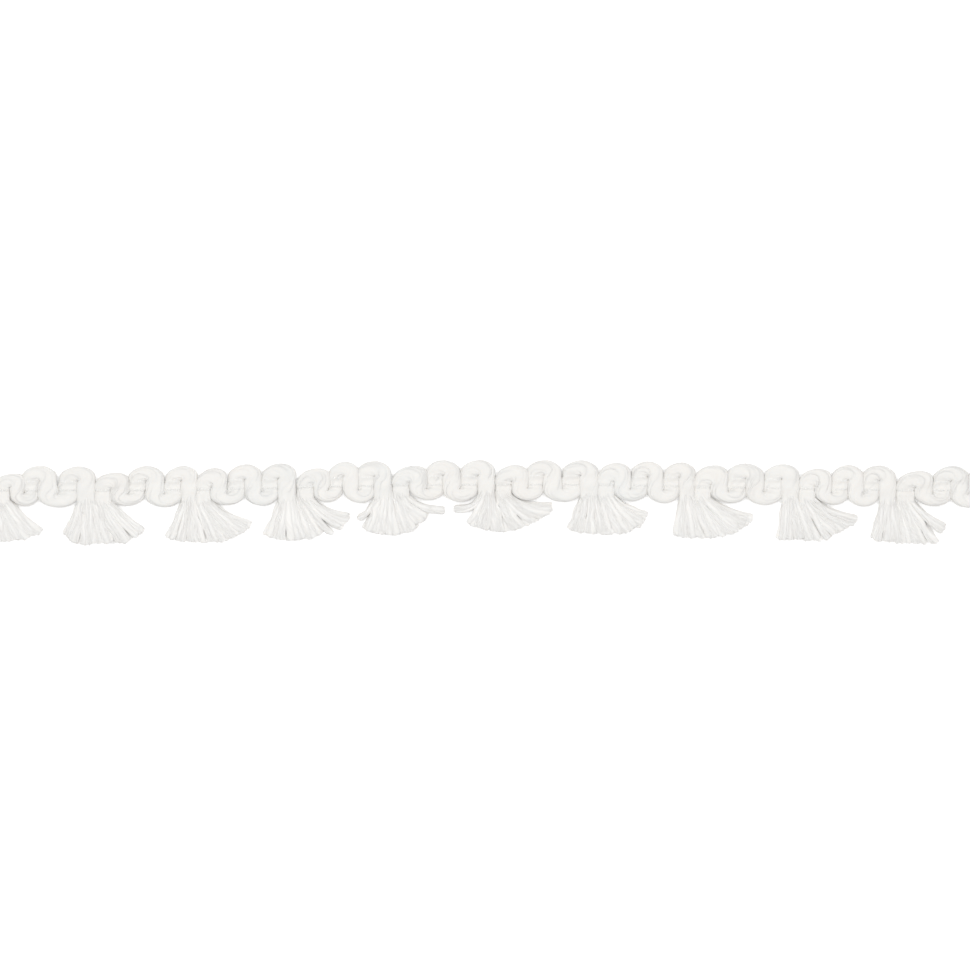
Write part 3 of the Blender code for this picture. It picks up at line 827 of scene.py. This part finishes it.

# %% [markdown]
# ## The lengths of the heading
# Each length is laid along its stations, dented, and given its skin and a few loose fibres. Where
# it runs into a tassel, its cotton comes out of the twist, and opened cotton is paler than twisted
# cotton. The same paleness is also painted light, which lifts the shade that falls between the
# strands and plies of the tassels. A second attribute says how far both have gone at each point.

# %% Build the heading
# from here the cotton is opened and paler, a paleness that is also painted light lifting the shade
# between strands
OPEN_AND_LIFT_FROM, OPEN_AND_LIFT_FULL = -2.3, -6.3  # y where a leg starts to open, and where its plies lie open
TAIL_REACH = 2.5  # mm to each side of a leg's end that belong to its tail
HEADING_FIBRES = (50, 1.2)  # loose fibres for each bump, and the longest in mm


def opened_and_shade_lift_at(places):
    """How far the cotton is opened at places in the tassels, and how far painted light lifts its shade.
    """
    y = places[:, 1] - stitch_line(places[:, 0])
    return np.clip((y - OPEN_AND_LIFT_FROM) / (OPEN_AND_LIFT_FULL - OPEN_AND_LIFT_FROM), 0, 1)


def tail_opened_and_shade_lift(ends):
    """How far a length is opened, with its shade lifted by painted light, at its places: only in the
    tassels at its ends.
    """
    def at(places):
        reach = np.min([np.abs(places[:, 0] - end) for end in ends], axis=0)
        return opened_and_shade_lift_at(places) * eased(reach, TAIL_REACH, 1)
    return at


lengths = []
for index, bumps in enumerate(LENGTHS):
    first_y = CUT_END if index == 0 else LEG_END
    last_y = CUT_END if index == len(LENGTHS) - 1 else LEG_END
    middle, reach, low, high, run = length_sections(length_stations(bumps, first_y, last_y))
    reach, low, high = squeezed(middle, reach, low, high)
    yarn, points, lay = fluted_yarn(middle, reach, low, high, run)
    points = raised(points)
    each, longest = HEADING_FIBRES
    fibres = loose_fibres(yarn, points, each * len(bumps), longest)
    ends = [bumps[0]["left"]] if first_y == LEG_END else []
    ends += [bumps[-1]["right"]] if last_y == LEG_END else []
    lengths.append(([(yarn, points, lay), fibres], tail_opened_and_shade_lift(ends)))
print("lengths of yarn:", len(lengths))

# %% [markdown]
# ## The tassels
# Each tassel is put together from its strands, the brushes on their cut ends, the single plies
# over them and the loose fibres at its sides. The strands taper at their very ends, so that the
# brushes cover the cut faces.

# %% Build the tassels
STRAND = ply_of(STRAND_RINGS, STRAND_SIDES)
FINE = ply_of(FINE_RINGS, FINE_SIDES)
END_TAPER = 0.82  # share of its size that a strand keeps at its very end
FINE_COUNT = 22  # single plies in a tight tassel, and as many more in a loose one
TASSEL_FIBRES = (260, 1.6)  # loose fibres, and the longest in mm

tassels = []
for index, (legs, centre) in enumerate(tassel_legs):
    paths, widths, heights = strand_lines(index, legs, centre)
    widths[:, -1] *= END_TAPER
    heights[:, -1] *= END_TAPER
    count = int(FINE_COUNT + FINE_COUNT * LOOSE[index])
    lines, radii = fine_plies(paths, widths, heights, legs, count)
    for bundle in (paths, lines):
        bundle[..., 1] += stitch_line(centre)
    points, lay = bent(STRAND, paths, widths, heights)
    bundles = [(STRAND, points, lay), brush_on(paths, widths, heights, BRUSH_EACH)]
    bundles.append((FINE, *bent(FINE, lines, radii, radii)))
    bundles.append(loose_fibres(STRAND, points, *TASSEL_FIBRES))
    tassels.append(piece_from(f"cut_tassel_{index:02d}", bundles, opened_and_shade_lift_at))
print("tassels:", len(tassels), "pieces,", sum(triangles(p) for p in tassels), "triangles")

# %% [markdown]
# ## Single plies that stand proud
# A soft yarn of many plies never lies quite even: here and there one ply slips out of its groove
# and stands proud for a few millimetres, then sinks back. Each is a thin rod that follows the
# skin's own grid along a flute, so it keeps the twist of the yarn, with its two ends sunk in.

# %% Read the skin as a grid
def skin_grid(yarn, points):
    """The skin's points in rows: ring by ring, and round each ring."""
    around = PLIES * PLY_SIDES
    place = places_round(yarn)[1] % around
    return points[0][np.lexsort((place, yarn["ring"]))].reshape(-1, around, 3)


def on_skin(grid, centres, rings, places):
    """Points between the rings and places of a skin, and the yarn's middle there."""
    around = grid.shape[1]
    ring, side = np.floor(rings).astype(int), np.floor(places).astype(int)
    a, b = (rings - ring)[:, None], (places - side)[:, None]
    here = (1 - b) * grid[ring, side % around] + b * grid[ring, (side + 1) % around]
    beyond = (1 - b) * grid[ring + 1, side % around] + b * grid[ring + 1, (side + 1) % around]
    return (1 - a) * here + a * beyond, (1 - a) * centres[ring] + a * centres[ring + 1]


print("grid of one skin:", skin_grid(*lengths[1][0][0][:2]).shape[:2])

# %% Raise single plies on the heading
PROUD_RINGS, PROUD_EACH = 16, 8  # rings of one, and how many for each bump
PROUD = ply_of(PROUD_RINGS, FINE_SIDES)
PROUD_LENGTH, PROUD_RADIUS = (3.5, 9.0), (0.12, 0.19)  # mm
PROUD_HEIGHT = (-0.13, -0.03)  # mm of a ply's centre line above the skin, halfway along it
ENDS_SUNK = 0.3  # mm that its ends lie deeper
PROUD_DRIFT, PROUD_WAVE = 2.2, (4.0, 0.7)  # in places round the yarn
END_RINGS = 8  # rings at each end of a length that stay plain
# mm from the stitch line and above the table: stitches hold the plies down where the yarn's
# middle is nearer and lower than these
STITCHED_Y, STITCHED_Z = 2.0, 1.85
UPWARD = 0.25  # a ply shows only where the skin faces up by more than this


def proud_plies(yarn, points, number):
    """Single plies that slip out of the skin of one length of yarn: lines and radii."""
    grid = skin_grid(yarn, points)
    centres = grid.mean(axis=1)
    t = np.linspace(0, 1, PROUD_RINGS)
    lines, radii = [], []
    while len(lines) < number:
        length = chance.uniform(*PROUD_LENGTH) / RING_STEP
        rings = chance.uniform(END_RINGS, len(grid) - END_RINGS - length) + length * t
        start = chance.uniform(0, grid.shape[1])
        places = start + chance.normal(0, PROUD_DRIFT) * t
        places = places + gentle(1, WAVE_SPAN * t, *PROUD_WAVE)[0]
        proud = chance.uniform(*PROUD_HEIGHT)
        line, middle = on_skin(grid, centres, rings, places)
        out = unit(line - middle)
        x, y, z = middle[PROUD_RINGS // 2]
        stitched = abs(y - stitch_line(x)) < STITCHED_Y and z < STITCHED_Z
        if stitched or out[PROUD_RINGS // 2, 2] < UPWARD:
            continue
        lines.append(line + out * (proud - ENDS_SUNK * (np.abs(2 * t - 1) ** 3))[:, None])
        radii.append(chance.uniform(*PROUD_RADIUS) * np.ones(PROUD_RINGS))
    return np.array(lines), np.array(radii)


heading = []
for index, (bundles, opened_and_shade_lift) in enumerate(lengths):
    yarn, points, _ = bundles[0]
    lines, radii = proud_plies(yarn, points, PROUD_EACH * len(LENGTHS[index]))
    bundles.append((PROUD, *bent(PROUD, lines, radii, radii)))
    heading.append(piece_from(f"cotton_yarn_{index:02d}", bundles, opened_and_shade_lift))
print("heading yarn:", len(heading), "pieces,", sum(triangles(p) for p in heading), "triangles")

# %% [markdown]
# ## The two rows of chain stitch
# The thread of a crochet machine makes a chain: each loop is pulled through the one before it. The
# chain crosses over the legs at the back of the heading and passes under the legs in front, and
# the upper one also passes under the small bumps. Its centre line is a smooth path over those
# crossings, and the loops are a small wave across it that also steps back along it, which is what
# a chain stitch does seen from above.

# %% Stitch the heading
THREAD_OVER, THREAD_UNDER = 3.06, 0.3  # mm, height of the chain over and under a leg
THREAD_RUN, OVERHANG = 0.25, 0.6  # level run at a leg, as a share of the gap, and mm past the ends
STITCH, LOOP_WIDTH, LOOP_BACK, LOOP_RISE = 1.1, 0.17, 0.25, 0.1  # mm
STITCH_RINGS, THREAD_SIDES, THREAD_SIZE = 12, 5, 0.078  # rings a stitch, and the radius in mm


def stitch_path(y, upper):
    """The centre line of a row of stitches, over and under the legs."""
    places = []
    for bump in BUMPS:
        places.append((bump["left"], THREAD_UNDER if upper and bump["small"] else THREAD_OVER))
        places.append((bump["right"], THREAD_UNDER))
    rows = []
    for k, (x, z) in enumerate(places):
        gaps = [abs(x - places[j][0]) for j in (k - 1, k + 1) if 0 <= j < len(places)]
        run = THREAD_RUN * min(gaps)
        rows += [(x - run, y, z), (x, y, z), (x + run, y, z)]
    rows[0] = (rows[0][0] - OVERHANG, y, rows[0][2])
    rows[-1] = (rows[-1][0] + OVERHANG, y, rows[-1][2])
    return np.array(rows)


def chain_line(rows):
    """The thread's own line: a chain of loops along a centre line."""
    run = run_of(rows)
    stitches = round(run[-1] / STITCH)
    t = np.linspace(0, 2 * math.pi * stitches, stitches * STITCH_RINGS + 1)
    places = run[-1] * t / t[-1]
    shifted = np.clip(places - LOOP_BACK * np.sin(2 * t), 0, run[-1])
    line = smoothed(rows, run, shifted)
    line[:, 1] += LOOP_WIDTH * np.sin(t)
    line[:, 2] += LOOP_RISE * np.cos(2 * t)
    line[:, 2] = np.maximum(line[:, 2], THREAD_SIZE + 0.01)
    return line


stitching = []
for name, y, upper in (("upper", STITCH_Y[0], True), ("lower", STITCH_Y[1], False)):
    line = chain_line(stitch_path(y, upper))[None]
    thread = ply_of(line.shape[1], THREAD_SIDES)
    radii = np.full(line.shape[:2], THREAD_SIZE)
    points, lay = bent(thread, line, radii, radii)
    stitching.append(piece_from(f"chain_stitch_{name}", [(thread, raised(points), lay)]))
print("stitching:", [triangles(p) for p in stitching], "triangles")

# %% [markdown]
# ## The cotton
# Undyed cotton is a warm white that differs a little from ply to ply. Three things show at
# different scales: slow changes of tone over the trim, streaks of a few millimetres along each
# ply, and the single fibres, which are too fine to model and become a bump. The streaks and the
# bump read the attribute lay, so they follow the fibres. A second attribute makes the cotton
# paler where it is opened in the tassels. The paleness is partly that of opened cotton and partly
# painted light that lifts the shade between the strands. Cotton is matt, with a faint sheen at
# glancing angles, and a little light passes through it.

# %% Tools for the finishes
def finish_nodes(name):
    """A new material, its node tree and its shader."""
    material = bpy.data.materials.new(name)
    material.use_nodes = True
    tree = material.node_tree
    return material, tree, tree.nodes["Principled BSDF"]


def attribute_of(tree, name):
    """A node that reads an attribute of the mesh."""
    node = tree.nodes.new("ShaderNodeAttribute")
    node.attribute_name = name
    return node


def stretched_noise(tree, source, scale, detail):
    """Noise drawn out along the first axis of its coordinates."""
    fit = tree.nodes.new("ShaderNodeMapping")
    fit.inputs["Scale"].default_value = scale
    tree.links.new(source, fit.inputs["Vector"])
    noise = tree.nodes.new("ShaderNodeTexNoise")
    noise.inputs["Scale"].default_value = 1.0
    noise.inputs["Detail"].default_value = detail
    noise.inputs["Roughness"].default_value = 0.6
    tree.links.new(fit.outputs["Vector"], noise.inputs["Vector"])
    return noise.outputs["Fac"]


def spread_of(tree, factor, low, high):
    """A noise stretched to run from 0 to 1 between two of its values."""
    ramp = tree.nodes.new("ShaderNodeMapRange")
    ramp.inputs["From Min"].default_value = low
    ramp.inputs["From Max"].default_value = high
    tree.links.new(factor, ramp.inputs["Value"])
    return ramp.outputs["Result"]


def mixed(tree, factor, first, second):
    """A colour between two, each given as a colour or an output."""
    mix = tree.nodes.new("ShaderNodeMix")
    mix.data_type = "RGBA"
    tree.links.new(factor, mix.inputs["Factor"])
    for socket, colour in (("A", first), ("B", second)):
        place = [s for s in mix.inputs if s.name == socket and s.type == "RGBA"][0]
        if isinstance(colour, tuple):
            place.default_value = colour
        else:
            tree.links.new(colour, place)
    return [s for s in mix.outputs if s.type == "RGBA"][0]


def add_bump(tree, shader, height, strength, distance):
    """A bump on a shader's surface, from a noise."""
    bump = tree.nodes.new("ShaderNodeBump")
    bump.inputs["Strength"].default_value = strength
    bump.inputs["Distance"].default_value = distance
    tree.links.new(height, bump.inputs["Height"])
    tree.links.new(bump.outputs["Normal"], shader.inputs["Normal"])


print("tools for the finishes: noise, spread, mix and bump")

# %% Mix the cotton and the thread
WARM_TONES = (0.777, 0.753, 0.724, 1), (0.757, 0.755, 0.738, 1)
PALE_STREAK = (0.80, 0.788, 0.762, 1)
# paler tones of opened cotton, which are also painted light that lifts the shade between strands
OPENED_AND_SHADE_LIFT_TONES = (0.81, 0.795, 0.771, 1), (0.86, 0.849, 0.827, 1)
THREAD_TONES = (0.86, 0.855, 0.84, 1), (0.95, 0.95, 0.935, 1)
TONE_SCALE, STREAK_SCALE, FIBRE_SCALE = (45, 60, 60), (0.10, 0.9, 0.9), (0.7, 9.0, 9.0)


def cotton_finish():
    material, tree, shader = finish_nodes("undyed soft cotton")
    lay = attribute_of(tree, "lay").outputs["Vector"]
    trim = tree.nodes.new("ShaderNodeTexCoord").outputs["Object"]
    tone = spread_of(tree, stretched_noise(tree, trim, TONE_SCALE, 2.0), 0.35, 0.65)
    warm = mixed(tree, tone, *WARM_TONES)
    streak = spread_of(tree, stretched_noise(tree, lay, STREAK_SCALE, 3.0), 0.35, 0.7)
    twisted = mixed(tree, streak, warm, PALE_STREAK)
    # opened cotton is paler, partly its own tone and partly painted light that lifts shade
    opened_and_shade_lift = mixed(tree, streak, *OPENED_AND_SHADE_LIFT_TONES)
    colour = mixed(tree, attribute_of(tree, "opened_and_shade_lift").outputs["Fac"], twisted, opened_and_shade_lift)
    fibres = stretched_noise(tree, lay, FIBRE_SCALE, 3.0)
    add_bump(tree, shader, fibres, 0.42, 0.00012)
    tree.links.new(colour, shader.inputs["Base Color"])
    shader.inputs["Roughness"].default_value = 0.95
    shader.inputs["Specular IOR Level"].default_value = 0.2
    shader.inputs["Sheen Weight"].default_value = 0.15
    shader.inputs["Sheen Roughness"].default_value = 0.5
    shader.inputs["Subsurface Weight"].default_value = 0.15
    shader.inputs["Subsurface Radius"].default_value = (1.0, 0.9, 0.8)
    shader.inputs["Subsurface Scale"].default_value = 0.0004
    return material


def thread_finish():
    material, tree, shader = finish_nodes("fine white sewing thread")
    lay = attribute_of(tree, "lay").outputs["Vector"]
    strand = stretched_noise(tree, lay, (1.2, 7.0, 7.0), 2.0)
    colour = mixed(tree, spread_of(tree, strand, 0.35, 0.65), *THREAD_TONES)
    add_bump(tree, shader, strand, 0.5, 0.00008)
    tree.links.new(colour, shader.inputs["Base Color"])
    shader.inputs["Roughness"].default_value = 0.7
    shader.inputs["Sheen Weight"].default_value = 0.1
    return material


cotton, sewing_thread = cotton_finish(), thread_finish()
for piece in heading + tassels:
    piece.data.materials.append(cotton)
for piece in stitching:
    piece.data.materials.append(sewing_thread)
print("finishes:", cotton.name, "and", sewing_thread.name)

# %% [markdown]
# ## The table, the light and the camera
# The trim lies flat on a white table, seen from straight above. A broad light a little towards
# the looped edge models the rounds of the yarn, and an even white sky fills the shadows.

# %% Lay the table
TABLE_TONES = (0.90, 0.90, 0.90, 1), (0.93, 0.93, 0.93, 1)
bpy.ops.object.select_all(action="DESELECT")
bpy.ops.mesh.primitive_plane_add(size=3.0, location=(0, 0, 0))
table = bpy.context.object
table.name = "white_table"
white, tree, shader = finish_nodes("white table")
grain = tree.nodes.new("ShaderNodeTexCoord").outputs["Object"]
paint = mixed(tree, stretched_noise(tree, grain, (30, 30, 30), 3.0), *TABLE_TONES)
tree.links.new(paint, shader.inputs["Base Color"])
shader.inputs["Roughness"].default_value = 0.8
shader.inputs["Emission Color"].default_value = (1, 1, 1, 1)
shader.inputs["Emission Strength"].default_value = 0.2
table.data.materials.append(white)
print("table:", [round(side, 1) for side in table.dimensions[:2]], "m")

# %% Light the table
LIGHT_PLACE, LIGHT_POWER, SKY_POWER = (-0.04, 0.13, 1.22), 10.3, 0.6
sky = bpy.data.worlds.new("even white sky")
sky.use_nodes = True
sky.node_tree.nodes["Background"].inputs["Color"].default_value = (1, 1, 1, 1)
sky.node_tree.nodes["Background"].inputs["Strength"].default_value = SKY_POWER
bpy.context.scene.world = sky
bpy.ops.object.light_add(type="AREA", location=LIGHT_PLACE)
window = bpy.context.object
window.name = "broad_window_light"
window.data.shape = "RECTANGLE"
window.data.size = 1.1
window.data.size_y = 0.7
window.data.energy = LIGHT_POWER
aim = -window.location.normalized()
window.rotation_euler = aim.to_track_quat("-Z", "Y").to_euler()
bpy.context.scene.view_settings.view_transform = "Standard"
print("light in W:", round(window.data.energy, 1))

# %% Set the camera
VIEW_MIDDLE, VIEW_WIDTH, VIEW_HEIGHT = (0.001433, 0.004321), 0.2453, 1.6  # m
TRIM_HEIGHT = 0.002  # m above the table at which the width is measured
bpy.ops.object.camera_add(location=(*VIEW_MIDDLE, VIEW_HEIGHT), rotation=(0, 0, 0))
camera = bpy.context.object
camera.name = "overhead_camera"
camera.data.sensor_width = 36.0
camera.data.lens = 36.0 * (VIEW_HEIGHT - TRIM_HEIGHT) / VIEW_WIDTH
bpy.context.scene.camera = camera
print("lens in mm:", round(camera.data.lens, 1))

# %% [markdown]
# ## Put the pieces in the place of the solids
# Each length, tassel and row of stitches stands for the solid of the same place: it is hung
# under the root's empty, and that solid is hidden.

# %% Hand over the pieces
for kind, pieces, slot in (("heading_yarn", heading, "soft_yarn"), ("tassel", tassels, "soft_yarn")):
    for index, piece in enumerate(pieces):
        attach(piece, "root")
        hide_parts(f"{kind}_{index:02d}")
for piece, row in zip(stitching, ("upper", "lower")):
    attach(piece, "root")
    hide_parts(f"binding_thread_{row}")
